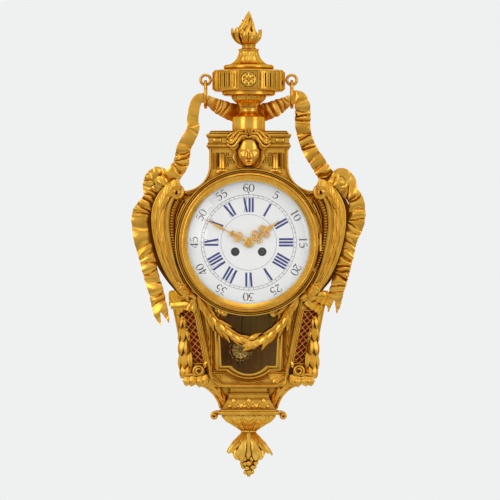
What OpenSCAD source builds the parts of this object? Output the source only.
// Gilt bronze cartel clock that hangs on a wall: urn, ribbons, round dial case, glazed bezel, trunk with
// a pendulum window, carved base, and a spring movement that strikes on a bell.
// Frame: X to the right, Z up, the wall at Y = 0, the front towards -Y, the dial's centre on X = Z = 0.

/* [Round case] */
// Outer radius of the round case
drum_r = 104; // [100:1:108]
// Wall of the round case
drum_wall = 3; // [2:0.5:4]
// Front edge of the round case, measured from the wall
drum_front = 95.5; // [93:0.5:98]
// Thickness of the back board
board_t = 4; // [3:0.5:5]
// Radius of the opening behind the movement
access_r = 62; // [58:1:66]
// Radius of the hole for the wall hook
hang_r = 4; // [3:0.5:5]
// Height of the hanging hole over the dial's centre
hang_z = 132; // [126:1:136]
// Half width of the pendulum's slot in the round case
slot_hw = 34; // [30:1:40]

/* [Bezel and dial] */
// How far the bezel stands past the round case
bezel_lip = 6.6; // [5:0.2:8]
// Thickness of the bezel, front to back
bezel_t = 16; // [14:0.5:18]
// Width of the bezel's ring
bezel_w = 13; // [11:0.5:14]
// Rise of the domed glass
glass_rise = 17; // [12:0.5:20]
// Thickness of the glass
glass_t = 2; // [1.5:0.25:2.5]
// Thickness of the dial
dial_t = 2; // [1.5:0.25:2.5]
// Radius of a winding hole
wind_hole_r = 6; // [5.5:0.25:7]
// Radius of the hinge knuckles
knuckle_r = 2.8; // [2.4:0.1:3.2]
// Radius of the hinge pin
hinge_pin_r = 1.25; // [1:0.05:1.5]
// Height of the hinge
hinge_h = 28; // [24:1:36]

/* [Hands] */
// Length of the minute hand from its centre
minute_l = 83; // [78:1:88]
// Length of the hour hand from its centre
hour_l = 60; // [52:1:64]
// Angle of the minute hand, clockwise from twelve
minute_a = 297.5; // [0:0.5:360]
// Angle of the hour hand, clockwise from twelve
hour_a = 55; // [0:0.5:360]
// Thickness of a hand
hand_t = 1.2; // [0.8:0.1:1.5]

/* [Movement] */
// Radius of the movement plates
plate_r = 58; // [56:0.5:60]
// Thickness of a movement plate
plate_t = 2; // [1.5:0.25:2.5]
// Distance between the two plates
plate_gap = 32; // [30:0.5:34]
// Distance from the wall to the back of the rear plate
rear_plate_y = 48; // [46:0.5:50]
// Side distance of each barrel from the dial's centre
barrel_x = 21.4; // [21:0.1:22]
// Depth of the barrels under the dial's centre
barrel_drop = 14.9; // [14.5:0.1:15.5]
// Radius of a barrel's drum
barrel_r = 17; // [15:0.5:18]
// Tooth size of the barrels and motion work
tooth_m = 0.5; // [0.48:0.01:0.52]
// Radius of a winding arbor
wind_r = 2.5; // [2:0.1:3]
// Radius of the pivots
pivot_r = 0.8; // [0.6:0.1:1]
// Radius of the train's arbors
arbor_r = 1; // [0.95:0.05:1.05]
// Radius of the bell
bell_r = 42; // [38:1:44]
// Depth of the bell
bell_h = 20; // [17:1:21]
// Running clearance round every shaft
fit = 0.05; // [0.03:0.01:0.08]
// Gap between curved faces that only lie side by side
gap = 0.3; // [0.2:0.05:0.4]

/* [Pendulum] */
// Height of the suspension over the dial's centre
swing_z = 42; // [41:0.5:43]
// Distance from the suspension to the middle of the bob
swing_l = 215; // [205:1:220]
// How far the pendulum hangs off the vertical, to the left
swing_a = 3.5; // [0:0.5:4]
// Radius of the bob
bob_r = 18.4; // [16:0.2:20]
// Radius of the rod
rod_r = 1.25; // [1:0.05:1.5]
// Distance from the wall to the plane of the pendulum
swing_y = 36; // [35.5:0.25:37]

/* [Neck and cap] */
// Half width of the neck
neck_hw = 63; // [60:1:66]
// Height of the neck's top over the round case
neck_rise = 45; // [42:1:50]
// Front of the neck, measured from the wall
neck_front = 86; // [84:0.5:88]
// Wall of the neck
neck_wall = 3; // [2:0.5:4]
// Height of the cap
cap_h = 29; // [26:1:32]

/* [Urn] */
// Radius of the urn's drum
urn_r = 57; // [54:0.5:58]
// Height of the urn's drum
urn_h = 33.6; // [32:0.2:36]
// Distance from the wall to the urn's axis
urn_y = 60; // [59:0.5:62]
// Radius of the pedestal
pedestal_r = 26.2; // [24:0.2:28]
// Height of the pedestal
pedestal_h = 24.2; // [20:0.2:28]
// Height of the foot
foot_h = 16; // [14:0.5:18]
// Height of the bowl
bowl_h = 16.2; // [14:0.2:18]
// Height of the band between bowl and drum
band_h = 7; // [6:0.5:9]
// Radius of that band
band_r = 42.4; // [40:0.2:46]
// Height of the lid
lid_h = 33.8; // [30:0.2:38]
// Radius of the lid's rim
lid_r = 40; // [38:0.5:44]
// Height of the flame above its collar
flame_h = 53.8; // [48:0.2:58]
// Radius of the hanging rings
ring_r = 20.5; // [19:0.5:22]
// Wire radius of the hanging rings
ring_wire = 2.7; // [2.3:0.1:3]
// Wire radius of the ear eyes
eye_wire = 2.3; // [2:0.1:2.6]
// Radius of the hole in an ear eye
eye_hole = 5.6; // [5.4:0.1:6.5]

/* [Ribbons] */
// Width of the upper ribbons
ribbon_w = 21; // [18:0.5:23]
// Width of the tails
tail_w = 27; // [24:0.5:29]
// Thickness of the ribbons
ribbon_t = 2.4; // [1.8:0.1:3]
// Height of the ribbon's folds
fold_h = 2.2; // [1:0.1:2.8]
// Length of one fold
fold_l = 14; // [12:0.5:18]

/* [Trunk] */
// Half width of the trunk's front at its top
front_hw = 88.5; // [86:0.5:90]
// Narrowing of the trunk, per unit of height
taper = 0.2; // [0.17:0.01:0.22]
// Distance from the dial's centre down to the trunk's top
trunk_drop = 80; // [78:1:84]
// Distance from the dial's centre down to the base's top
base_drop = 214; // [211:1:218]
// Front of the trunk's frame, measured from the wall
trunk_front = 75; // [74:0.5:78]
// Thickness of the trunk's frame
frame_t = 6; // [5:0.5:7]
// Half width of the window at its top
window_hw = 49; // [46:0.5:51]
// Distance from the dial's centre down to the window's sill
sill_drop = 197; // [194:1:199]
// Depth of the round drop under the sill
sill_dip = 13; // [11:0.5:14]
// Half width of the round drop
dip_hw = 28; // [25:0.5:31]
// Sideways reach of each canted side
cant_x = 37; // [35:0.5:38]
// Thickness of a side grille
grille_t = 2; // [1.5:0.25:2.5]
// Distance between the bars of a grille
grille_pitch = 7.4; // [6.5:0.1:9]
// Width of a grille's bars
grille_bar = 1.5; // [1.2:0.1:2]
// Thickness of the silk
silk_t = 0.8; // [0.6:0.1:1]
// Width of a corner post
post_w = 16; // [14:0.5:17]
// Depth of a corner post
post_d = 20; // [18:0.5:20.5]

/* [Base] */
// Half width of the base at its foot
base_foot_hw = 46; // [43:0.5:48]
// Height of the base
base_h = 52.5; // [50:0.5:56]
// Height of the shelf
shelf_h = 8.5; // [7:0.5:10]
// Half width of the shelf
shelf_hw = 46; // [44:0.5:48]
// Distance from the wall to the axis of the bowl and pendant
bowl_y = 46.5; // [46:0.5:48]
// Height of the acanthus bowl
acanthus_h = 27; // [24:0.5:30]
// Height of the pendant
pendant_h = 74; // [70:0.5:78]

/* [Hidden] */
$fn = 48;
gold = [0.80, 0.58, 0.17];
dull_gold = [0.62, 0.50, 0.24];
brass = [0.78, 0.64, 0.32];
steel = [0.55, 0.56, 0.58];
enamel = [0.96, 0.96, 0.93];
clear = [0.85, 0.92, 0.95, 0.35];
maroon = [0.38, 0.06, 0.06];
umber = [0.22, 0.18, 0.10];
up = [0, 1, 0];

// Case front and dial
dial_r = drum_r - drum_wall - gap * 2;
dial_back = -drum_front + 2.5;
bezel_r = drum_r + bezel_lip;
bezel_back = -drum_front - 0.5;
bezel_hole = bezel_r - bezel_w;
rebate_r = bezel_hole + 2.4;
rebate_y = bezel_back - bezel_t * 0.56;
hinge_x = bezel_r + knuckle_r + 0.15;
hinge_y = bezel_back - 1;
leaf_t = 2.5;
knuckle_gap = 0.3;
knuckle_h = hinge_h / 3;

// Movement layers, front to back
rear_back = -rear_plate_y;
rear_front = rear_back - plate_t;
front_back = rear_front - plate_gap;
front_front = front_back - plate_t;
seat_t = 3;
seat_hole = plate_r - 5;
screw_r = 1.5;
screw_ring = plate_r - 2.4;
shake = 0.5;
wheel_t = 1.2;
leaf_w = 4;
cannon_r = 2.2;
spigot_r = cannon_r * 0.8;
stem_r = cannon_r * 0.5;
pipe_r = 3.2;
centre_hole_r = 4.2;
hour_y = dial_back - dial_t - 2;
minute_y = hour_y - hand_t - 1.2;
nut_y = minute_y - hand_t;

// Train: arbor places in X and Z
going_p = [barrel_x, -barrel_drop];
strike_p = [-barrel_x, -barrel_drop];
great_teeth = 78;
inter_leaves = 12;
inter_teeth = 72;
centre_leaves = 10;
centre_teeth = 96;
third_leaves = 8;
third_teeth = 64;
scape_leaves = 8;
scape_teeth = 40;
cannon_teeth = 12;
minute_teeth = 36;
minute_leaves = 10;
hour_teeth = 40;
inter_from_barrel = (great_teeth + inter_leaves) * tooth_m / 2;
inter_from_centre = (inter_teeth + centre_leaves) * tooth_m / 2;
inter_p = meet(going_p, inter_from_barrel, [0, 0], inter_from_centre);
third_p = [-9, 15.6];
scape_p = [0, 27.5];
pallet_p = [0, swing_z];
minute_p = [0, (cannon_teeth + minute_teeth) * tooth_m / 2];
centre_m = norm(third_p) * 2 / (centre_teeth + third_leaves);
third_m = norm(scape_p - third_p) * 2 / (third_teeth + scape_leaves);
hour_m = minute_p.y * 2 / (minute_leaves + hour_teeth);
hammer_p = [-bell_r - 2, 20];
great_y = rear_front - 8;
inter_y = rear_front - 4;
centre_y = front_back + 3.2;
third_y = rear_front - 16.8;
scape_y = rear_front - 23;
minute_wheel_y = front_front - 2.2;
hour_wheel_y = minute_wheel_y - 2.6;
barrel_h = 16;
scape_r = 9.5;
scape_t = 0.7;
pallet_gap = 1.7;
pillar_r = 3;
pillar_ring = plate_r - 8;
pillar_angles = [45, 115, 205, 335];

// Bell and suspension
bell_p = [0, -6];
bell_t = 2;
bell_rim = -30;
stand_t = 2;
stand_y = bell_rim - 1.4;
stand_p = [40, -38];
cock_hw = 7;
spring_w = 4;
spring_t = 0.3;
slot_w = 2.6;
crutch_y = rear_back + 2.5;
crutch_l = 32;

// Heights above the dial, bottom to top
neck_top = drum_r + neck_rise;
flare_r = drum_r - neck_hw;
flare_z = drum_r + 19;
cap_top = neck_top + cap_h;
foot_z = cap_top + pedestal_h;
bowl_z = foot_z + foot_h;
band_z = bowl_z + bowl_h;
urn_z = band_z + band_h;
lid_z = urn_z + urn_h;
collar_z = lid_z + lid_h;
collar_h = 8;
flame_z = collar_z + collar_h;
eye_r = eye_hole + eye_wire;
ear_block = 1.2;
eye_stem = 0.6;
ear_x = urn_r + ear_block + eye_stem + eye_wire + eye_r;
ear_z = urn_z + urn_h * 0.55;
ring_z = ear_z - eye_hole + gap + ring_wire - ring_r;

// Heights below the dial, top to bottom
trunk_z = -trunk_drop;
base_z = -base_drop;
sill_z = -sill_drop;
frame_foot = base_z - 17;
shelf_z = base_z - base_h;
acanthus_z = shelf_z - shelf_h;
pendant_z = acanthus_z - acanthus_h;
post_front = -board_t - post_d;
block_back = -50;

// Ribbon anchors in X and Z: where it passes a ring, the knots and the ends of the tails
link_drop = ring_r - ring_wire - ribbon_w / 2 - 1.5;
link_at = [ear_x, ring_z - link_drop];
knot_l = [-drum_r - 34, drum_r - 10];
knot_r = [drum_r + 38, drum_r - 12];
end_l = [-drum_r - 30, -drum_r - 27];
end_r = [drum_r + 30, -drum_r - 9];
ribbon_y = -urn_y;
tail_y = -58;
knot_reach = 14.4;

// Each mark is a share of the way between two anchors and a distance to the outer side
fall_marks_l = [[0.012, 5], [0.05, 12], [0.13, 13], [0.26, 6], [0.345, -3], [0.46, -4], [0.565, -5],
    [0.65, -9], [0.73, -12], [0.815, -11], [0.89, -8], [1, 0]];
fall_marks_r = [[0.012, 6], [0.05, 11], [0.157, 7], [0.287, -4], [0.4, -10], [0.54, -13], [0.66, -12],
    [0.81, -10], [0.89, -8], [1, 0]];
tail_marks_l = [[0, 0], [0.05, 8], [0.12, 21], [0.22, 37], [0.345, 36], [0.44, 32], [0.555, 25.5], [0.67, 19.5],
    [0.79, 12], [0.895, 7.5], [1, 0]];
tail_marks_r = [[0, 0], [0.04, 12], [0.085, 27], [0.19, 33], [0.305, 32], [0.41, 23], [0.515, 19], [0.645, 13.5],
    [0.76, 8.5], [0.88, 3], [1, 0]];

// Console: angle round the dial, distance out from the round case, width
console_marks = [[36, 40, 14], [27, 43, 21], [18, 39.5, 22], [8, 34, 22], [-2, 28, 20], [-14, 25, 17],
    [-27, 24, 13], [-37, 23, 10]];
console_back = -12;
console_step = -70;
console_front = -90;
volute_r = 10;

// Festoon route in X and Z, as shares of the trunk's half width and depths under the trunk's top
festoon_marks = [[-0.94, 4], [-0.74, 30], [-0.54, 52], [-0.23, 74], [0.04, 88], [0.27, 75], [0.53, 55],
    [0.66, 41], [0.79, 15], [0.87, 4]];
festoon_r = 8;
tie_rise = 20;
tie_h = 10;

// Point at distance a from p and b from q, on the upper right of the line between them
function meet(p, a, q, b) =
    let (d = norm(q - p), e = (q - p) / d, s = (d * d + a * a - b * b) / (2 * d), h = sqrt(a * a - s * s))
    p + e * s + [e.y, -e.x] * h;

function polar(r, a) = [r * cos(a), r * sin(a)];

function arc(c, r, a0, a1, n) = [for (i = [0:n]) c + polar(r, a0 + (a1 - a0) * i / n)];

function heading(v) = atan2(v.y, v.x);

// Smooth curve through points of any dimension, n steps between each two
function curve_at(a, b, c, d, t) =
    0.5 * (2 * b + (c - a) * t + (2 * a - 5 * b + 4 * c - d) * t * t + (3 * b - a - 3 * c + d) * t * t * t);
function curve(p, n) = concat(
    [for (i = [0:len(p) - 2]) for (k = [0:n - 1])
        curve_at(p[max(i - 1, 0)], p[i], p[i + 1], p[min(i + 2, len(p) - 1)], k / n)],
    [p[len(p) - 1]]);

function unit(v) = v / norm(v);

// Points of a route between anchors a and b; side is 1 where the outer side is to the right
function route(a, b, marks, side) =
    let (d = b - a, out = unit([d.y, -d.x]) * -side)
    [for (m = marks) a + d * m[0] + out * m[1]];

// Half width of the trunk's front at height z
function front_at(z) = front_hw + (z - trunk_z) * taper;

// Point on the canted right side: u runs from the front frame to the corner post
function side_at(u, z) = [front_at(z) + cant_x * u, -trunk_front + frame_t / 2 + 50 * u, z];
side_u = unit([cant_x, 50, 0]);
side_n = unit(cross(side_u, [taper, 0, 1]));
side_v = cross(side_n, side_u);
side_o = side_at(0, trunk_z);
function side_flat(u, z) = let (p = side_at(u, z) - side_o) [p * side_u, p * side_v];

// Outline of a toothed wheel whose tooth points along angle a
function wheel_points(n, m, a, tip, root, share) =
    let (r = n * m / 2, w = 360 / n)
    [for (i = [0:n - 1]) for (k = [[-0.62, -root], [-0.36, tip], [0.36, tip], [0.62, -root]])
        polar(r + k[1] * m, a + i * w + k[0] * share * w)];

module wheel(p, y, t, n, m, a) {
    slab(y, t) translate(p) polygon(wheel_points(n, m, a, 0.85, 1.15, 0.4));
}

module pinion(p, y, t, n, m, a) {
    slab(y, t) translate(p) polygon(wheel_points(n, m, a + 180 / n, 0.85, 1.1, 0.38));
}

// Shape drawn in X and Z, with its back face at y, t thick towards the front
module slab(y, t) {
    translate([0, y, 0]) rotate([90, 0, 0]) linear_extrude(t) children();
}

// Round bar along Y at p, between y0 in front and y1 behind
module bar(p, y0, y1, r) {
    translate([p.x, y1, p.y]) rotate([90, 0, 0]) cylinder(r = r, h = y1 - y0);
}

module block(x0, x1, y0, y1, z0, z1) {
    translate([x0, y0, z0]) cube([x1 - x0, y1 - y0, z1 - z0]);
}

module both() {
    children();
    mirror([1, 0, 0]) children();
}

// Solid of revolution on the vertical axis at depth y; points are radius and height
module turned(y, points) {
    translate([0, -y, 0]) rotate_extrude() polygon(points);
}

// Closed sweep of rings of points, m points to a ring
module skin(rings) {
    m = len(rings[0]);
    n = len(rings);
    polyhedron(
        points = [for (r = rings) for (p = r) p],
        faces = concat(
            [for (k = [1:m - 2]) [0, k, k + 1]],
            [for (i = [0:n - 2]) for (j = [0:m - 1]) [i * m + j, i * m + j + m, i * m + m + (j + 1) % m]],
            [for (i = [0:n - 2]) for (j = [0:m - 1])
                [i * m + j, i * m + m + (j + 1) % m, i * m + (j + 1) % m]],
            [for (k = [1:m - 2]) [n * m - m, n * m - m + k + 1, n * m - m + k]]));
}

// Folded band along points in space; w holds its width at each point
module band(p, w, t) {
    n = len(p);
    skin([for (i = [0:n - 1])
        let (along = unit(p[min(i + 1, n - 1)] - p[max(i - 1, 0)]),
            wide = unit(cross(along, up)), thick = cross(along, wide))
        [for (k = [[1, 1], [-1, 1], [-1, -1], [1, -1]])
            p[i] + wide * k[0] * w[i] / 2 + thick * k[1] * t / 2]]);
}

// Route in X and Z made a folded line in space: y at each end, folds fading in over the first stretch
function folded(p, y0, y1, calm) =
    let (n = len(p), run = [for (i = 0, s = 0; i < n; s = s + (i < n - 1 ? norm(p[i + 1] - p[i]) : 0), i = i + 1) s])
    [for (i = [0:n - 1])
        let (grow = min(1, run[i] / calm))
        [p[i].x, y0 + (y1 - y0) * i / (n - 1) + fold_h * grow * sin(run[i] / fold_l * 360), p[i].y]];

module back_board() color(umber)
    difference() {
        union() {
            slab(0, board_t) circle(r = drum_r);
            slab(0, board_t) polygon(neck_outline(neck_wall));
            slab(0, board_t) polygon([for (s = [1, -1]) for (z = s > 0 ? [base_z, trunk_z] : [trunk_z, base_z])
                [s * (front_at(z) + cant_x), z]]);
        }
        bar([0, 0], -board_t - 1, 1, access_r);
        bar([0, hang_z], -board_t - 1, 1, hang_r);
    }

module drum_case() color(gold)
    difference() {
        bar([0, 0], -drum_front, -board_t, drum_r);
        bar([0, 0], -drum_front - 1, -board_t + 1, drum_r - drum_wall);
        block(-slot_hw, slot_hw, -swing_y - 11, -swing_y + 11, -drum_r - 1, -drum_r / 2);
    }

// Right and left outline of the neck, drawn in by the wall
function neck_half(inset) = concat(
    [[neck_hw - inset, neck_top - inset]],
    arc([neck_hw + flare_r, flare_z], flare_r + inset, 180, 268, 10),
    [[neck_hw + flare_r - inset, flare_z - flare_r - 4]]);
function mirrored(p) = [for (i = [len(p) - 1:-1:0]) [-p[i].x, p[i].y]];
function neck_outline(inset) = concat(neck_half(inset), mirrored(neck_half(inset)));

// Cap courses: share of the height, overhang past the neck, step forward of the neck
cap_courses = [[0.1, 1, 2], [0.14, 3, 6], [0.42, 1.5, 4], [0.16, 3.5, 8], [0.18, -2, 2]];
function cap_sum(i) = i < 0 ? 0 : cap_courses[i][0] + cap_sum(i - 1);

module cap_block() {
    for (i = [0:len(cap_courses) - 1]) {
        c = cap_courses[i];
        block(-neck_hw - c[1], neck_hw + c[1], -neck_front - c[2], -2,
            neck_top + cap_h * cap_sum(i - 1), neck_top + cap_h * cap_sum(i));
    }
}

module neck() color(gold) {
    difference() {
        slab(-board_t, neck_front - board_t) polygon(neck_outline(0));
        slab(1, neck_front - neck_wall + 1) polygon(neck_outline(neck_wall));
        bar([0, 0], -neck_front - 1, 0, drum_r + gap);
        both() for (x = [34, 42, 50])
            translate([x, -neck_front, flare_z - 2]) cylinder(r = 2.4, h = neck_top - flare_z - 4);
    }
    cap_block();
}

module urn_foot() color(gold)
    difference() {
        turned(urn_y, concat(
            [[0, cap_top], [pedestal_r, cap_top], [pedestal_r, foot_z - 2], [pedestal_r - 2, foot_z]],
            arc([23.4, foot_z + foot_h * 0.62], foot_h * 0.5, 250, 150, 6),
            [[15.5, bowl_z - 2], [16.5, bowl_z]],
            arc([16.5, bowl_z + bowl_h], bowl_h * 0.6, 300, 350, 4),
            [[27.5, band_z], [0, band_z]]));
        for (a = [0:22.5:359])
            translate([0, -urn_y, 0]) rotate(a) translate([29.6, 0, bowl_z - 1]) rotate([0, -18, 0])
                cylinder(r = 2.2, h = bowl_h * 1.4);
    }

module urn_drum() color(gold)
    difference() {
        union() {
            turned(urn_y, [[0, band_z], [band_r - 4, band_z], [band_r, band_z + 2], [band_r, urn_z],
                [urn_r - 3, urn_z], [urn_r, urn_z + 3], [urn_r, lid_z - 3], [urn_r - 2, lid_z], [0, lid_z]]);
            translate([0, -urn_y, 0]) for (a = [0, 180]) rotate(a)
                block(urn_r - 8, urn_r + ear_block, -6, 6, urn_z + 3, lid_z - 3);
            slab(-urn_y - urn_r + 4, 6) translate([-16, urn_z + 2]) square([32, urn_h - 4]);
        }
        translate([0, -urn_y, 0]) for (a = [20:9:160], s = [0, 180])
            if (abs(a - 90) > 17 || s == 0)
                rotate(a + s) translate([urn_r + 0.6, 0, urn_z + 6]) cylinder(r = 2.1, h = urn_h - 12);
        difference() {
            bar([0, urn_z + urn_h / 2], -urn_y - urn_r - 3, -urn_y - urn_r - 0.6, 13);
            bar([0, urn_z + urn_h / 2], -urn_y - urn_r - 4, 0, 10.5);
        }
    }

module urn_lid() color(gold)
    turned(urn_y, concat(
        [[0, lid_z], [lid_r, lid_z], [lid_r, lid_z + 5], [lid_r - 1.5, lid_z + 7]],
        arc([lid_r, lid_z + lid_h], lid_h - 9.5, 268, 182, 9),
        [[13, collar_z], [10.7, collar_z + 1], [10.7, flame_z], [0, flame_z]]));

// Curved horn: a chain of balls along points that hold x, y, z and radius
module horn(p, sides) {
    for (i = [0:len(p) - 2])
        hull() {
            translate([p[i][0], p[i][1], p[i][2]]) sphere(r = p[i][3], $fn = sides);
            translate([p[i + 1][0], p[i + 1][1], p[i + 1][2]]) sphere(r = p[i + 1][3], $fn = sides);
        }
}

// One tongue of flame that leans and twists as it rises
module tongue(a, lean, reach, h, r) {
    rotate(a) horn([for (k = [0:3]) let (t = k / 3, w = 60 * t)
        concat(polar(lean + reach * sin(150 * t), w), [h * t, r * (1 - t * t) + 0.5])], 6);
}

module flame_finial() color(gold)
    translate([0, -urn_y, flame_z]) {
        difference() {
            union() {
                translate([0, 0, 0.3]) cylinder(r1 = 9, r2 = 15, h = flame_h * 0.22, $fn = 16);
                for (i = [0:5]) translate([0, 0, 8]) tongue(i * 60, 9, 8, flame_h * 0.32, 5.2);
                for (i = [0:3]) translate([0, 0, 12]) tongue(i * 90 + 30, 4.5, 6, flame_h * 0.52, 6);
                translate([0, 0, 10]) tongue(200, 1, 2, flame_h - 10.5, 8);
            }
            translate([-40, -40, -20]) cube([80, 80, 20]);
        }
    }

module torus(r, wire) {
    rotate_extrude() translate([r, 0]) circle(r = wire);
}

module ear_eyes() color(gold)
    both() translate([ear_x, -urn_y, ear_z]) {
        rotate([90, 0, 0]) torus(eye_r, eye_wire);
        rotate([0, -90, 0]) translate([0, 0, eye_r])
            cylinder(r = eye_wire, h = eye_wire + eye_stem);
    }

module hanging_rings() color(gold)
    both() translate([ear_x, -urn_y, ring_z]) rotate([0, 90, 0]) torus(ring_r, ring_wire);

// Swag from ring to ring, behind the pedestal
module ribbon_swag() color(gold) {
    back = -urn_y + pedestal_r + ribbon_t + 1;
    low = foot_z + 2;
    n = 64;
    sags = [for (i = [0:n]) let (s = (i / n * 2 - 1) * 1.1) [s, 1 - s * s]];
    p = [for (i = [0:n]) let (s = sags[i][0], sag = sags[i][1], deep = max(sag, 0))
        [link_at.x * s, ribbon_y + (back - ribbon_y) * pow(deep, 1.5) + fold_h * 0.5 * deep * sin(i * 70),
            link_at.y + (low - link_at.y) * sag]];
    intersection() {
        band(p, [for (v = sags) ribbon_w * (0.42 + 0.58 * min(1, max(v[1], 0) * 3))], ribbon_t);
        block(-link_at.x + gap, link_at.x - gap, -200, 0, 0, 400);
    }
}

module ribbon_fall(a, b, marks, side) {
    start = a + [side * 1, 0];
    p = curve(concat([start], route(a, b, marks, side)), 6);
    q = folded(p, ribbon_y, tail_y - 6, 40);
    n = len(q);
    difference() {
        band(q, [for (i = [0:n - 1]) ribbon_w * (0.86 + 0.14 * min(1, i / 18))], ribbon_t);
        bar(b, -200, 0, knot_reach + gap);
        block(-link_at.x, link_at.x, -200, 0, cap_top, link_at.y + ring_r);
    }
}

module ribbon_left() color(gold) ribbon_fall([-link_at.x, link_at.y], knot_l, fall_marks_l, -1);

module ribbon_right() color(gold) ribbon_fall(link_at, knot_r, fall_marks_r, 1);

// Knot of pleats, one bow loop and a tail with a swallow-tail end
module bow_tail(knot, end, marks, side) {
    difference() {
        union() {
            p = curve(route(knot, end, marks, side), 6);
            q = folded(p, tail_y - 2, tail_y, 30);
            band(q, [for (i = [0:len(q) - 1]) tail_w * (0.75 + 0.25 * min(1, i / 14))], ribbon_t);
            loop = curve([for (m = [[-7, 10], [3, 15], [14, 10], [20, -4], [18, -22]])
                knot + [side * m[0], m[1]]], 5);
            band([for (i = [0:len(loop) - 1])
                [loop[i].x, tail_y + 4 + 5 * sin(180 * i / (len(loop) - 1)), loop[i].y]],
                [for (v = loop) tail_w * 0.72], ribbon_t);
            translate([knot.x, tail_y - 2, knot.y]) {
                sphere(r = 6.5, $fn = 10);
                for (i = [0:8]) rotate([0, i * 40 + 7, 0]) horn([[4, 0, 0, 2.4], [9 + i % 3, 1.5, 0, 3.4]], 6);
            }
        }
        translate([end.x, tail_y + 10, end.y - 1]) rotate([90, 0, 0]) linear_extrude(20)
            polygon([[-6, 0], [0, 14], [6, 0]]);
    }
}

module bow_tail_left() color(gold) bow_tail(knot_l, end_l, tail_marks_l, -1);

module bow_tail_right() color(gold) bow_tail(knot_r, end_r, tail_marks_r, 1);

// Edges of the console: share runs from its inner edge at -1 to its outer edge at 1
function console_edge(share) =
    curve([for (m = console_marks) polar(drum_r + m[1] + share * m[2] / 2, m[0])], 3);
function reversed(p) = [for (i = [len(p) - 1:-1:0]) p[i]];
volute_p = [drum_r + volute_r + 1, flare_z - flare_r - 3];

module console() {
    first = console_marks[0];
    last = console_marks[len(console_marks) - 1];
    difference() {
        union() {
            slab(console_back, console_back - console_step)
                polygon(concat(console_edge(0.7), [polar(drum_r - 6, last[0]), polar(drum_r - 6, 0),
                    polar(drum_r - 6, first[0])]));
            slab(console_step, console_step - console_front)
                polygon(concat(console_edge(1), reversed(console_edge(-1))));
            slab(console_front, 3) polygon(concat(console_edge(0.9), reversed(console_edge(0.45))));
            slab(console_front, 3) polygon(concat(console_edge(-0.5), reversed(console_edge(-0.85))));
            bar(volute_p, console_front - 2, console_step + 12, volute_r);
            for (a = [-2:3:28])
                bar(polar(drum_r + 16, a), console_step - 4, console_step + 1, 3.4);
        }
        bar([0, 0], console_front - 9, 0, drum_r + gap);
        bar(volute_p, console_front - 9, console_front + 14, 3);
    }
}

module console_right() color(gold) console();

module console_left() color(gold) mirror([1, 0, 0]) console();

// Calm woman's head of plain proportions; the hair is parted and rolled back from the face
face_z = neck_top - 6;
module lump(p, s, sides) {
    translate([p.x, p.y - neck_front, p.z + face_z]) scale(s) sphere(r = 1, $fn = sides);
}

module lock(points) {
    horn([for (p = points) [p[0], p[1] - neck_front, p[2] + face_z, p[3]]], 7);
}

module mask() color(gold)
    difference() {
        union() {
            lump([0, -4, 0], [17.5, 17, 24], 20);
            lump([0, -13, -17], [7, 6, 5.5], 10);
            both() lump([8.5, -14, -5], [7, 4.6, 7], 10);
            hull() {
                lump([0, -20, 4], [2, 2, 2], 6);
                lump([0, -22.5, -5], [2.8, 2.2, 1.8], 6);
            }
            hull() both() lump([4.4, -18.6, -11], [2, 1.8, 1.7], 6);
            both() hull() {
                lump([3, -18.8, 5], [2, 1.8, 1.3], 6);
                lump([12, -14.6, 4.6], [2, 1.8, 1.3], 6);
            }
            both() lump([7.2, -16.4, 0.6], [3.4, 2.6, 2], 8);
            both() {
                lock([[1, -16, 22, 5], [10, -16, 20, 5.4], [18, -12, 12, 5.4], [20, -8, 2, 4.6], [18, -6, -8, 3]]);
                lock([[2, -8, 28, 6], [15, -8, 26, 6.6], [26, -6, 18, 6.4], [30, -5, 8, 5]]);
                lock([[24, -10, 13, 5], [31, -7, 5, 4.6], [25, -6, -2, 4]]);
            }
        }
        block(-60, 60, -neck_front - gap / 2, 0, 0, neck_top);
        mask_seat();
        bar([0, 0], -neck_front - 60, 0, bezel_r + 1.5);
    }

// Room for the cap behind the mask
module mask_seat() {
    for (i = [0:len(cap_courses) - 1]) {
        c = cap_courses[i];
        block(-60, 60, -neck_front - c[2] - gap / 2, 0, neck_top + cap_h * cap_sum(i - 1) - gap / 2,
            neck_top + cap_h * cap_sum(i) + gap / 2);
    }
}

function window_outline(grow) = let (b = window_hw - (sill_drop - drum_r) * 0.06 + grow, z = sill_z - grow,
    r = (pow(dip_hw + grow, 2) + sill_dip * sill_dip) / (2 * sill_dip), a = asin((dip_hw + grow) / r))
    concat([[window_hw + grow, -drum_r + 12], [b, z]],
        [for (p = arc([0, z - sill_dip + r], r, -90 + a, -90 - a, 10)) p],
        [[-b, z], [-window_hw - grow, -drum_r + 12]]);

function frame_outline(inset) = [for (p = [[front_at(trunk_z), trunk_z, -1], [front_at(base_z), base_z, -1],
    [front_at(base_z) - 14, frame_foot, 0.6]]) [p[0] - inset, p[1] - p[2] * -inset]];

module frame_shape(inset) {
    p = frame_outline(inset);
    polygon(concat(p, mirrored(p)));
}

module trunk_frame() color(gold)
    difference() {
        union() {
            slab(-trunk_front + frame_t, frame_t) frame_shape(0);
            difference() {
                slab(-trunk_front, 3) frame_shape(0);
                slab(-trunk_front + 1, 6) frame_shape(5);
            }
            slab(-trunk_front, 3.5) polygon(window_outline(8));
        }
        slab(-trunk_front + frame_t + 1, frame_t + 9) polygon(window_outline(0));
        difference() {
            slab(-trunk_front - 1.5, 6) polygon(window_outline(5.5));
            slab(-trunk_front, 9) polygon(window_outline(2.5));
        }
        bar([0, 0], -trunk_front - 9, 0, drum_r + gap);
    }

// Right canted side in its own plane: flat outline between u0 and u1, z0 and z1
module side_shape(u0, u1, z0, z1) {
    polygon([side_flat(u0, z0), side_flat(u1, z0), side_flat(u1, z1), side_flat(u0, z1)]);
}

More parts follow.
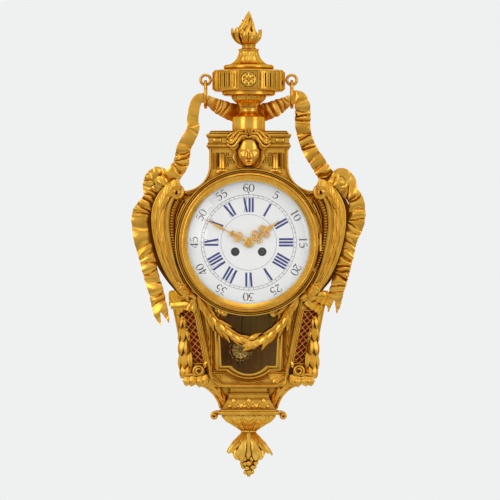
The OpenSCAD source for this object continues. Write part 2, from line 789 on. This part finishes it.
module in_side() {
    multmatrix([for (i = [0:2]) [side_u[i], side_v[i], side_n[i], side_o[i]]]) children();
}

scroll_r = 9;
grille_foot = base_z + scroll_r * 2 + 1.5;
grille_open = [[0.17, 0.8], [grille_foot + 5, trunk_z - 30]];

module side_grille() {
    o = grille_open;
    mid = side_flat(0.5, (o[1][0] + o[1][1]) / 2);
    half = 12;
    in_side() translate([0, 0, -grille_t / 2]) {
        difference() {
            linear_extrude(grille_t) side_shape(0.03, 0.92, grille_foot, trunk_z - 2);
            translate([0, 0, -1]) linear_extrude(grille_t + 2) side_shape(o[0][0], o[0][1], o[1][0], o[1][1]);
        }
        intersection() {
            linear_extrude(grille_t) side_shape(o[0][0] - 0.02, o[0][1] + 0.02, o[1][0] - 1, o[1][1] + 1);
            union() for (s = [-1, 1], i = [-half:half])
                translate([mid.x, mid.y, 0]) rotate(s * 53) translate([-80, i * grille_pitch - grille_bar / 2, 0])
                    cube([160, grille_bar, grille_t]);
        }
    }
}

module side_grilles() color(gold) both() side_grille();

module side_silks() color(maroon) both() in_side() {
    o = grille_open;
    translate([0, 0, -grille_t / 2 - silk_t]) linear_extrude(silk_t)
        side_shape(o[0][0] - 0.06, o[0][1] + 0.05, o[1][0] - 3, o[1][1] + 3);
}

function post_edge(s, z) = front_at(z) + cant_x + (s > 0 ? 2 : 2 - post_w);

module corner_posts() color(gold) both() {
    top = trunk_z + 2;
    difference() {
        slab(-board_t, post_d) polygon([[post_edge(1, top), top], [post_edge(1, base_z), base_z],
            [post_edge(-1, base_z), base_z], [post_edge(-1, top), top]]);
        slab(post_front + 2, 4) polygon([for (p = [[3, 8], [3, -8], [post_w - 3, -8], [post_w - 3, 8]])
            let (z = p[1] > 0 ? base_z + p[1] : top + p[1]) [post_edge(-1, z) + p[0], z]]);
    }
}

module lower_scrolls() color(gold) both() {
    p = [front_at(base_z) + 18, base_z + scroll_r];
    difference() {
        union() {
            bar(p, -trunk_front + 4, -trunk_front + 30, scroll_r);
            block(p.x - scroll_r, p.x + scroll_r, -trunk_front + 10, -trunk_front + 30, base_z, base_z + scroll_r);
        }
        bar(p, -trunk_front - 1, -trunk_front + 12, 3);
    }
}

// Pointed leaf with a ridge, laid along X: width w, length l, height t
module leaf(w, l, t) {
    polyhedron(
        points = [[0, 0, 0], [l, 0, 0], [l * 0.45, w / 2, -t * 0.2], [l * 0.45, -w / 2, -t * 0.2],
            [l * 0.4, 0, t], [l * 0.4, 0, -t * 0.5]],
        faces = [[0, 2, 4], [2, 1, 4], [0, 4, 3], [3, 4, 1], [0, 5, 2], [2, 5, 1], [0, 3, 5], [3, 1, 5]]);
}

module festoon() color(gold)
    difference() {
        p = curve([for (m = festoon_marks) [m[0] * front_hw, trunk_z - m[1]]], 2);
        y = -trunk_front - 4 - festoon_r * 0.5;
        union() {
            horn([for (v = p) [v.x, y + 2, v.y, 4.2]], 7);
            for (i = [0:len(p) - 2]) {
                rising = i > len(p) / 2;
                s = rising ? p[i + 1] : p[i];
                d = rising ? p[i] - p[i + 1] : p[i + 1] - p[i];
                translate([s.x, y, s.y]) rotate([0, -heading(d), 0])
                    for (k = [-1, 0, 1]) rotate([k * 62 + 90, 0, 0]) translate([0, 0, 1.2]) rotate([0, -14, 0])
                        leaf(10, norm(d) + 10, 4.5);
            }
        }
        block(-200, 200, -trunk_front - 3.5, 0, -300, 0);
        bar([0, 0], -drum_front - 30, 0, drum_r + gap);
    }

// Husk: a cup of five pointed petals that hangs down
module husk(r, h) {
    horn([[0, 0, 0, r * 0.45], [0, 0, -h * 0.55, r * 0.7]], 6);
    for (a = [18:72:359]) rotate(a) translate([r * 0.3, 0, 0]) rotate([0, 74, 0]) leaf(r * 1.3, h * 1.05, r * 0.5);
}

module husk_pendants() color(gold) difference() {
    both() for (i = [0:3]) {
        z = trunk_z - 58 - i * 20;
        x = front_at(z) + cant_x + 2 - post_w / 2;
        translate([x, post_front - 7, z]) if (i < 3) husk(9 + i, 23);
            else horn([[0, 0, -3, 6], [0, 0, -10, 4]], 7);
    }
    block(-200, 200, post_front - gap, 0, -300, 0);
    both() behind_grille();
}

// Everything behind the outer face of the right side grille
module behind_grille() {
    in_side() translate([-20, -200, -60]) cube([100, 300, 60 + grille_t / 2 + gap]);
}

// Distance from the middle to the inner edge of a ribbon's tail at height z
function tail_edge(knot, end, marks, side, z) =
    let (p = curve(route(knot, end, marks, side), 6))
    lookup(z, [for (i = [1:len(p) - 2])
        let (d = unit(p[i + 1] - p[i - 1]), q = p[i] + [d.y, -d.x] * side * tail_w / 2)
        [q.y, side * q.x]]);

// Tie from a canted side out to the ribbon's tail, drawn on the right
module tie(knot, end, marks, side) {
    z = end.y + tie_rise;
    reach = min([for (k = [-1, 0, 1]) tail_edge(knot, end, marks, side, z + k * tie_h / 2)]) - gap;
    a = [side_at(0.1, z).x - 2, side_at(0.1, z).y];
    b = [side_at(0.55, z).x - 2, side_at(0.55, z).y];
    difference() {
        translate([0, 0, z - tie_h / 2]) {
            linear_extrude(tie_h) polygon([a, b, [reach, tail_y + 4], [reach, tail_y - 5], a + [6, -7]]);
            for (k = [0.1, 0.4, 0.7]) translate([0, 0, k * tie_h]) linear_extrude(tie_h * 0.16)
                polygon([b, [reach, tail_y + 3], [reach, tail_y - 6.5], a + [6, -9], a]);
        }
        behind_grille();
    }
}

module tie_bands() color(gold) {
    mirror([1, 0, 0]) tie(knot_l, end_l, tail_marks_l, -1);
    tie(knot_r, end_r, tail_marks_r, 1);
}

// The base has a well in its top when the pendulum is long enough to need one
module base() color(gold)
    difference() {
        intersection() {
            slab(-board_t, 200) polygon(base_outline());
            translate([-200, 0, 0]) rotate([90, 0, 90]) linear_extrude(400)
                polygon([[-board_t, base_z], [-trunk_front + frame_t, base_z], [-trunk_front + frame_t, frame_foot],
                    [block_back, frame_foot], [block_back, shelf_z], [-board_t, shelf_z]]);
        }
        block(-dip_hw, dip_hw, -swing_y - 11, -swing_y + 11,
            min(base_z + 0.5, swing_z - swing_l - bob_r - 14), base_z + 1);
    }

function base_half() = let (w = post_edge(1, base_z), r = w - 6 - base_foot_hw, c = [w - 6, base_z - 12 - r])
    concat([[w, base_z], [w, base_z - 6]], arc(c, r, 90, 178, 10), [[base_foot_hw, shelf_z]]);
function base_outline() = concat(base_half(), mirrored(base_half()));

module frieze_block() color(gold) {
    courses = [[0, 0.26, 29, 29, 18], [0.26, 0.54, 32, 32, 24], [0.54, 1, 33.5, 43, 28]];
    top = frame_foot - gap;
    h = top - shelf_z;
    for (c = courses)
        slab(block_back, c[4] + 6) polygon([[c[2], top - c[0] * h], [c[3], top - c[1] * h],
            [-c[3], top - c[1] * h], [-c[2], top - c[0] * h]]);
    for (x = [-22, 0, 22])
        bar([x, top - h * 0.78], block_back - 37, block_back - 33, 5);
}

module base_shelf() color(gold) {
    block(-shelf_hw + 3, shelf_hw - 3, -bowl_y * 2, -2, shelf_z - 3, shelf_z);
    block(-shelf_hw, shelf_hw, -bowl_y * 2 - 1, -1, acanthus_z, shelf_z - 3);
    both() {
        bar([shelf_hw + 9, acanthus_z - 3], -bowl_y - 12, -bowl_y + 12, 5.6);
        slab(-bowl_y + 12, 24) polygon([[shelf_hw - 1, shelf_z - 3], [shelf_hw + 8, acanthus_z + 2.2],
            [shelf_hw + 9, acanthus_z - 3], [shelf_hw - 1, acanthus_z]]);
    }
}

// Ogee of the bowl: radius at each share of the height
acanthus_curve = curve([[45, 0], [37, 0.28], [29, 0.5], [20, 0.75], [13, 0.93], [9.5, 1]], 2);

module acanthus_bowl() color(gold)
    translate([0, -bowl_y, acanthus_z]) {
        rotate_extrude($fn = 24) polygon(concat([[0, 0]],
            [for (p = acanthus_curve) [p[0] - 1, -p[1] * acanthus_h]], [[0, -acanthus_h]]));
        for (a = [15:30:359]) rotate(a)
            horn([for (i = [0, 3, 6, 9]) let (p = acanthus_curve[i])
                [p[0] - 2.2 - (i == 0 ? 1.5 : 0), 0, -2.6 - p[1] * (acanthus_h - 4), 2.6 - i * 0.15]], 5);
    }

module pendant() color(gold)
    translate([0, -bowl_y, pendant_z]) {
        h = pendant_h;
        rotate_extrude($fn = 24) polygon([[0, 0], [9.5, 0], [10.5, -0.03 * h], [14, -0.15 * h],
            [20, -0.4 * h], [19, -0.5 * h], [13, -0.6 * h], [0, -0.62 * h]]);
        for (a = [0:45:359]) rotate(a)
            horn([[10, 0, -0.08 * h, 3.4], [17, 0, -0.28 * h, 5], [23, 0, -0.4 * h, 4.2],
                [a % 90 == 0 ? 31.5 : 26, 0, -0.475 * h, 1.6]], 6);
        for (k = [[0, 5.6], [1, 5.4], [2, 5]]) for (a = [0:60:359])
            rotate(a + k[0] * 30) translate([11.4 - k[0] * 3.6, 0, -(0.68 + k[0] * 0.105) * h])
                sphere(r = k[1], $fn = 7);
        translate([0, 0, -h + 5]) sphere(r = 4.9, $fn = 7);
        translate([0, 0, -0.9 * h]) cylinder(r1 = 5, r2 = 12, h = 0.32 * h, $fn = 12);
    }

// Upright knuckle of the bezel's hinge between heights z0 and z1
module knuckle(z0, z1) {
    translate([hinge_x, hinge_y, z0]) cylinder(r = knuckle_r, h = z1 - z0);
}

module hinge_leaf() color(brass) {
    edge = knuckle_h / 2 + knuckle_gap;
    leaf_y = bezel_back + 1;
    block(drum_r + gap, hinge_x - knuckle_r - gap, leaf_y, leaf_y + leaf_t, -hinge_h / 2, hinge_h / 2);
    for (z = [[edge, hinge_h / 2], [-hinge_h / 2, -edge]]) {
        knuckle(z[0], z[1]);
        block(hinge_x - knuckle_r - 1, hinge_x + knuckle_r * 0.6, hinge_y + 1.8, leaf_y + leaf_t, z[0], z[1]);
    }
    translate([hinge_x, hinge_y, -hinge_h / 2]) cylinder(r = hinge_pin_r, h = hinge_h);
}

// Ring of radius and depth points about the dial's axis
module ring_about_dial(points) {
    rotate([90, 0, 0]) rotate_extrude() polygon([for (p = points) [p[0], -p[1]]]);
}

module bezel() color(gold)
    difference() {
        union() {
            f = bezel_back - bezel_t;
            ring_about_dial(concat(
                [[rebate_r, bezel_back], [bezel_r, bezel_back], [bezel_r, bezel_back - 4]],
                [for (p = arc([bezel_r - 3.5, -f - 9], 2.6, -60, 60, 4)) [p[0], -p[1]]],
                [for (p = arc([bezel_r - 6.6, -f - 4.4], 4.4, 0, 100, 6)) [p[0], -p[1]]],
                [[bezel_hole + 3, f + 2.2], [bezel_hole, f + 4.5], [bezel_hole, rebate_y], [rebate_r, rebate_y]]));
            knuckle(-knuckle_h / 2, knuckle_h / 2);
            block(bezel_r - 4, hinge_x, hinge_y - knuckle_r, hinge_y - 0.2, -knuckle_h / 2, knuckle_h / 2);
        }
        translate([hinge_x, hinge_y, -hinge_h]) cylinder(r = hinge_pin_r + fit, h = hinge_h * 2);
        bar([0, 0], rebate_y, 0, rebate_r);
    }

module bezel_glass() color(clear) {
    edge = rebate_r - gap;
    rise = glass_rise;
    ball = (edge * edge + rise * rise) / (2 * rise);
    centre = rebate_y + 0.9 - rise + ball;
    half = asin(edge / ball);
    ring_about_dial([for (p = concat(arc([0, 0], ball, 90, 90 - half, 12),
        arc([0, 0], ball - glass_t, 90 - half, 90, 12))) [max(p.x, 0), centre - p.y]]);
}

module dial() color(enamel)
    difference() {
        union() {
            bar([0, 0], dial_back - dial_t, dial_back, dial_r);
            for (a = [30, 150, 270]) bar(polar(dial_r * 0.8, a), dial_back, front_front - seat_t, 2.5);
        }
        bar([0, 0], dial_back - dial_t - 1, 0, centre_hole_r);
        for (p = [going_p, strike_p]) bar(p, dial_back - dial_t - 1, 0, wind_hole_r);
    }

module movement_seat() color(brass)
    difference() {
        bar([0, 0], front_front - seat_t, front_front, drum_r - drum_wall - gap);
        bar([0, 0], front_front - seat_t - 1, 0, seat_hole);
        screw_holes();
    }

module screw_holes() {
    for (a = [0:90:359]) bar(polar(screw_ring, a), -drum_front, 0, screw_r + fit);
}

module movement_screws() color(steel)
    for (a = [0:90:359]) {
        p = polar(screw_ring, a);
        difference() {
            bar(p, front_front - seat_t - 2, front_front - seat_t, screw_r * 1.9);
            translate([p.x, front_front - seat_t - 2, p.y]) cube([screw_r * 4, 1.6, 0.8], center = true);
        }
        bar(p, front_front - seat_t, front_back + 1, screw_r);
    }

// Pivot holes that both plates share
module pivot_holes() {
    for (p = [inter_p, third_p, scape_p, pallet_p, hammer_p]) bar(p, -drum_front, 0, pivot_r + fit);
    for (p = [going_p, strike_p]) bar(p, -drum_front, 0, wind_r + fit);
}

module front_plate() color(brass) {
    difference() {
        bar([0, 0], front_front, front_back, plate_r);
        pivot_holes();
        screw_holes();
        bar([0, 0], -drum_front, 0, stem_r + fit);
    }
    bar(minute_p, hour_wheel_y - wheel_t - 1, front_front, pivot_r);
}

module rear_plate() color(brass)
    difference() {
        union() {
            bar([0, 0], rear_front, rear_back, plate_r);
            for (a = pillar_angles) {
                bar(polar(pillar_ring, a), front_back, rear_front, pillar_r);
                bar(polar(pillar_ring, a), front_back + 1, front_back + 4, pillar_r + 1);
                bar(polar(pillar_ring, a), rear_front - 4, rear_front, pillar_r + 1);
            }
        }
        pivot_holes();
        for (p = [pallet_p, hammer_p]) bar(p, rear_front - 1, 0, arbor_r + fit);
        bar([0, 0], rear_front - 1, 0, pivot_r + fit);
    }

// Arbor with a thinner pivot at each end
module arbor(p) {
    bar(p, front_back + shake, rear_front - shake, arbor_r);
    bar(p, front_front + shake, rear_back - shake, pivot_r);
}

module centre_arbor() color(steel) {
    to_inter = heading(inter_p);
    bar([0, 0], front_back + shake, rear_front - shake, arbor_r * 1.4);
    bar([0, 0], rear_front - shake, rear_back - shake, pivot_r);
    bar([0, 0], nut_y - 2, front_back + shake, stem_r);
    pinion([0, 0], inter_y + 1.4, leaf_w, centre_leaves, tooth_m, to_inter);
    wheel([0, 0], centre_y, wheel_t, centre_teeth, centre_m, heading(third_p));
}

// Tube with teeth that carries the minute hand and slips on the centre arbor when the hands are set
module cannon_pinion() color(steel)
    difference() {
        union() {
            bar([0, 0], minute_y, front_front - shake, cannon_r);
            bar([0, 0], nut_y - 3, minute_y, spigot_r);
            pinion([0, 0], minute_wheel_y + 0.4, 2, cannon_teeth, tooth_m, heading(minute_p));
        }
        bar([0, 0], -drum_front - 30, 0, stem_r + fit);
    }

module intermediate_wheel() color(brass) {
    arbor(inter_p);
    wheel(inter_p, inter_y, wheel_t, inter_teeth, tooth_m, heading(-inter_p));
    pinion(inter_p, great_y + 1, leaf_w, inter_leaves, tooth_m, heading(going_p - inter_p));
}

module third_wheel() color(brass) {
    arbor(third_p);
    wheel(third_p, third_y, wheel_t, third_teeth, third_m, heading(scape_p - third_p));
    pinion(third_p, centre_y + 1, 3, third_leaves, centre_m, heading(-third_p));
}

module escape_wheel() color(brass) {
    arbor(scape_p);
    pinion(scape_p, third_y + 1, 3, scape_leaves, third_m, heading(third_p - scape_p));
    slab(scape_y, scape_t) translate(scape_p) polygon([for (i = [0:scape_teeth - 1])
        for (k = [[0, scape_r - 1.6], [0.35, scape_r - 1.5], [0.8, scape_r], [0.9, scape_r]])
            polar(k[1], (i + k[0]) * 360 / scape_teeth)]);
}

module barrel(p, a) {
    difference() {
        union() {
            bar(p, great_y - wheel_t - barrel_h, great_y - wheel_t, barrel_r);
            bar(p, great_y - wheel_t - barrel_h - 0.8, great_y - wheel_t - barrel_h, barrel_r - 2);
            wheel(p, great_y, wheel_t + 0.6, great_teeth, tooth_m, a);
        }
        bar(p, -drum_front, 0, wind_r + fit);
    }
}

module going_barrel() color(brass) barrel(going_p, heading(inter_p - going_p));

module strike_barrel() color(brass) barrel(strike_p, 90);

// Barrel arbor with a square for the key
module winder(p) {
    bar(p, front_front - 3, rear_back + 1.5, wind_r);
    side = wind_r * 1.5;
    slab(front_front - 3, front_front - 3 - dial_back) translate(p) square(side, center = true);
}

module going_winder() color(steel) winder(going_p);

module strike_winder() color(steel) winder(strike_p);

module minute_wheel() color(brass)
    difference() {
        union() {
            wheel(minute_p, minute_wheel_y, wheel_t, minute_teeth, tooth_m, heading(-minute_p));
            pinion(minute_p, minute_wheel_y - wheel_t, 3.4, minute_leaves, hour_m, heading(-minute_p));
        }
        bar(minute_p, -drum_front, 0, pivot_r + fit);
    }

module hour_wheel() color(brass)
    difference() {
        union() {
            wheel([0, 0], hour_wheel_y, wheel_t, hour_teeth, hour_m, heading(minute_p));
            bar([0, 0], hour_y - hand_t, hour_wheel_y, pipe_r);
        }
        bar([0, 0], -drum_front - 20, 0, cannon_r + fit);
    }

// Pierced leaf-and-ring hand, drawn upright, with places as shares of its length
module hand_shape(l, w, hub) {
    difference() {
        union() {
            circle(r = hub);
            translate([-w * 0.16, 0]) square([w * 0.32, l * 0.8]);
            for (k = [0.24, 0.5]) translate([0, l * k]) {
                translate([w * 0.42, 0]) circle(r = w * 0.36);
                translate([-w * 0.42, 0]) circle(r = w * 0.36);
            }
            translate([0, l * 0.37]) circle(r = w * 0.4);
            polygon([[-w * 0.34, l * 0.62], [0, l * 0.52], [w * 0.34, l * 0.62], [w * 0.12, l * 0.78], [0, l],
                [-w * 0.12, l * 0.78]]);
        }
        for (k = [0.24, 0.5]) translate([0, l * k]) {
            translate([w * 0.42, 0]) circle(r = w * 0.2);
            translate([-w * 0.42, 0]) circle(r = w * 0.2);
        }
    }
}

module minute_hand() color(gold)
    difference() {
        slab(minute_y, hand_t) rotate(-minute_a) hand_shape(minute_l, 11, 5.5);
        bar([0, 0], -drum_front - 30, 0, spigot_r);
    }

module hour_hand() color(gold)
    difference() {
        slab(hour_y, hand_t) rotate(-hour_a) hand_shape(hour_l, 16, 6.5);
        bar([0, 0], -drum_front - 30, 0, pipe_r);
    }

module hand_nut() color(gold)
    difference() {
        union() {
            bar([0, 0], nut_y - 2.4, nut_y, 3.4);
            bar([0, 0], nut_y - 3.4, nut_y - 2.4, 2.4);
        }
        bar([0, 0], nut_y - 4, nut_y + 1, spigot_r);
    }

// Everything on the pendulum is drawn upright and then swung to where it hangs
module swung() {
    translate([0, 0, swing_z]) rotate([0, swing_a, 0]) children();
}

module pallets() color(steel) {
    reach = scape_r + pallet_gap;
    bar(pallet_p, front_front + shake, front_back + shake, pivot_r);
    bar(pallet_p, front_back + shake, crutch_y + 1, arbor_r);
    swung() {
        difference() {
            slab(scape_y, wheel_t) polygon([[-2.6, 2.6], [2.6, 2.6], [12.2, -7.4], [10.4, -12], [8, -8.4], [0, -1.6],
                [-8, -8.4], [-10.4, -12], [-12.2, -7.4]]);
            translate([0, 0, scape_p.y - swing_z]) bar([0, 0], scape_y - 5, scape_y + 5, reach);
        }
        slab(crutch_y + 1, 1.6) polygon([[-2.6, 2.6], [2.6, 2.6], [1.5, -crutch_l], [-1.5, -crutch_l]]);
        for (s = [-1, 1])
            block(s * (rod_r + 1.4) - 0.8, s * (rod_r + 1.4) + 0.8, crutch_y - 0.6, -swing_y + rod_r,
                -crutch_l - 3, -crutch_l);
        block(-rod_r - 2.2, rod_r + 2.2, crutch_y - 0.6, crutch_y + 1, -crutch_l - 3, -crutch_l + 1);
    }
}

module suspension_cock() color(brass)
    difference() {
        union() {
            block(-cock_hw, cock_hw, rear_back, rear_back + 3, swing_z + 5, swing_z + 15);
            block(-cock_hw * 0.6, cock_hw * 0.6, rear_back + 3, -swing_y + 6, swing_z + 6, swing_z + 12);
        }
        block(-slot_w / 2, slot_w / 2, -swing_y - 4, -swing_y + 4, 0, swing_z + 11);
    }

module pendulum_rod() color(steel)
    swung() {
        block(-spring_t / 2, spring_t / 2, -swing_y - spring_w / 2, -swing_y + spring_w / 2, -8, 10.5);
        block(-2.4, 2.4, -swing_y - 3, -swing_y + 3, -14, -6);
        translate([0, -swing_y, -swing_l - bob_r - 10]) cylinder(r = rod_r, h = swing_l + bob_r - 4);
    }

// Foliate bob: a ring of petals round a boss, on both faces alike
bob_t = 6;
module pendulum_bob() color(dull_gold)
    swung() difference() {
        translate([0, -swing_y, -swing_l]) rotate([90, 0, 0]) {
            translate([0, 0, -bob_t / 2]) cylinder(r = bob_r * 0.7, h = bob_t);
            translate([0, 0, -bob_t / 2 - 2]) cylinder(r = bob_r * 0.28, h = bob_t + 4);
            for (a = [15:30:359]) rotate(a) translate([bob_r * 0.72, 0, -bob_t / 3])
                cylinder(r = bob_r * 0.28, h = bob_t * 2 / 3);
        }
        translate([0, -swing_y, -swing_l - bob_r * 2]) cylinder(r = rod_r + fit, h = bob_r * 4);
    }

module rating_nut() color(brass)
    swung() translate([0, -swing_y, -swing_l - bob_r - 4.5]) difference() {
        cylinder(r = 4, h = 3.5);
        translate([0, 0, -1]) cylinder(r = rod_r + fit, h = 6);
    }

module bell() color(brass)
    translate([bell_p.x, bell_rim, bell_p.y]) difference() {
        rotate([-90, 0, 0]) rotate_extrude() polygon(concat(
            [[0, bell_h], [bell_r * 0.35, bell_h]], arc([bell_r * 0.35, 0], bell_r * 0.62, 60, 12, 5),
            [[bell_r, 0], [bell_r - bell_t, 0]], reversed(arc([bell_r * 0.35 - 1, -bell_t], bell_r * 0.62 - 1, 60, 12, 5)),
            [[bell_r * 0.35, bell_h - bell_t], [0, bell_h - bell_t]]));
        rotate([-90, 0, 0]) cylinder(r = 2 + fit, h = 60);
    }

module bell_stand() color(steel) {
    run = bell_p - stand_p;
    bar(stand_p, rear_back, stand_y + stand_t / 2, 5);
    translate([stand_p.x, stand_y, stand_p.y]) rotate([0, -heading(run), 0]) translate([0, 0, -3])
        difference() {
            translate([0, -stand_t / 2, 0]) cube([norm(run), stand_t, 6]);
            translate([norm(run), 0, 3]) rotate([90, 0, 0]) cylinder(r = 3, h = 20, center = true);
        }
    bar(bell_p, stand_y - stand_t / 2, bell_rim + bell_h - bell_t, 4);
    bar(bell_p, stand_y, bell_rim + bell_h + 2, 2);
}

module hammer() color(steel) {
    head = [bell_p.x - bell_r - 6.2, bell_p.y - 4];
    d = head - hammer_p;
    bar(hammer_p, front_front + shake, front_back + shake, pivot_r);
    bar(hammer_p, front_back + shake, rear_back + 4, arbor_r);
    translate([hammer_p.x, rear_back + 3, hammer_p.y]) rotate([0, -heading(d), 0])
        translate([-3, -1, -1.5]) cube([norm(d) + 3, 2, 3]);
    bar(head, rear_back + 2, bell_rim + 6, 4);
}

back_board();
drum_case();
neck();
urn_foot();
urn_drum();
urn_lid();
flame_finial();
ear_eyes();
hanging_rings();
ribbon_swag();
ribbon_left();
ribbon_right();
bow_tail_left();
bow_tail_right();
console_left();
console_right();
mask();
trunk_frame();
side_grilles();
side_silks();
corner_posts();
lower_scrolls();
festoon();
husk_pendants();
tie_bands();
base();
frieze_block();
base_shelf();
acanthus_bowl();
pendant();
hinge_leaf();
dial();
movement_seat();
front_plate();
rear_plate();
movement_screws();
bell_stand();
bell();
suspension_cock();
bezel();
bezel_glass();
centre_arbor();
cannon_pinion();
minute_hand();
hand_nut();
hour_hand();
hour_wheel();
minute_wheel();
intermediate_wheel();
going_barrel();
third_wheel();
escape_wheel();
strike_barrel();
going_winder();
strike_winder();
pallets();
pendulum_rod();
pendulum_bob();
rating_nut();
hammer();
